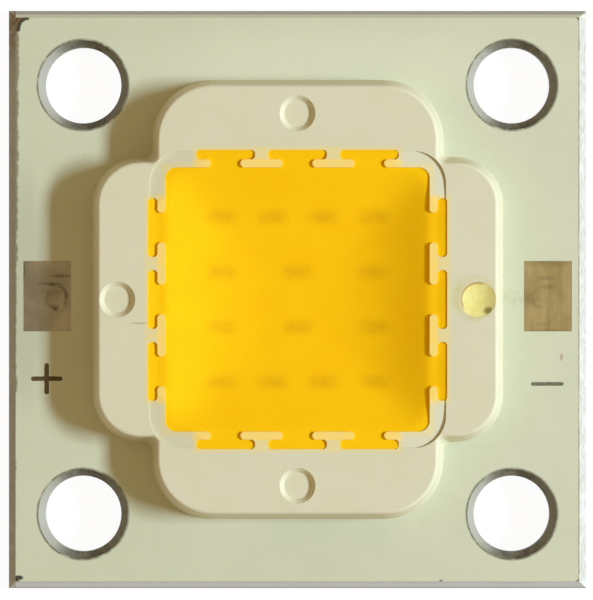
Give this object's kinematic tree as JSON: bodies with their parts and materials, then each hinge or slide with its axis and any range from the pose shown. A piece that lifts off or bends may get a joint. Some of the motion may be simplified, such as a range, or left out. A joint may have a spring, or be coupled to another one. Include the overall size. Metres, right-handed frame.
{
  "type": "chip-on-board led module",
  "caption": "Square chip-on-board LED module: white metal-core board with corner screw holes, moulded cross frame and yellow phosphor cavity.",
  "frame": {"origin": "centre of the board's underside", "axes": "+Z the way the light goes, +X to the negative land, +Y to the edge opposite the polarity marks"},
  "size_m": [0.0242, 0.0242, 0.0031],
  "materials": {
    "metal_core": "satin, scored and broken edges",
    "dielectric": "matte",
    "copper": "bright foil",
    "white_mask": "satin",
    "land_finish_pos": "dull tinned, scratched by test probes",
    "land_finish_neg": "dull tinned, brushed",
    "frame_plastic": "satin moulded",
    "phosphor_silicone": "cloudy silicone",
    "plug_silicone": "cloudy silicone, thin",
    "chip": "polished",
    "gold_wire": "bright drawn"
  },
  "bodies": {
    "root": {"base_plate": "metal_core", "dielectric_layer": "dielectric", "positive_trace": "copper", "negative_trace": "copper", "solder_mask": "white_mask", "positive_pad": "land_finish_pos", "negative_pad": "land_finish_neg", "frame": "frame_plastic", "phosphor_gel": "phosphor_silicone", "gel_plug": "plug_silicone", "led_chip_01": "chip", "led_chip_02": "chip", "led_chip_03": "chip", "led_chip_04": "chip", "led_chip_05": "chip", "led_chip_06": "chip", "led_chip_07": "chip", "led_chip_08": "chip", "led_chip_09": "chip", "led_chip_10": "chip", "led_chip_11": "chip", "led_chip_12": "chip", "led_chip_13": "chip", "led_chip_14": "chip", "bond_wire_pos_01": "gold_wire", "bond_wire_pos_02": "gold_wire", "bond_wire_pos_03": "gold_wire", "bond_wire_pos_04": "gold_wire", "bond_wire_pos_05": "gold_wire", "bond_wire_pos_06": "gold_wire", "bond_wire_pos_07": "gold_wire", "bond_wire_pos_08": "gold_wire", "bond_wire_pos_09": "gold_wire", "bond_wire_pos_10": "gold_wire", "bond_wire_pos_11": "gold_wire", "bond_wire_pos_12": "gold_wire", "bond_wire_pos_13": "gold_wire", "bond_wire_pos_14": "gold_wire", "bond_wire_neg_01": "gold_wire", "bond_wire_neg_02": "gold_wire", "bond_wire_neg_03": "gold_wire", "bond_wire_neg_04": "gold_wire", "bond_wire_neg_05": "gold_wire", "bond_wire_neg_06": "gold_wire", "bond_wire_neg_07": "gold_wire", "bond_wire_neg_08": "gold_wire", "bond_wire_neg_09": "gold_wire", "bond_wire_neg_10": "gold_wire", "bond_wire_neg_11": "gold_wire", "bond_wire_neg_12": "gold_wire", "bond_wire_neg_13": "gold_wire", "bond_wire_neg_14": "gold_wire"}
  },
  "joints": []
}
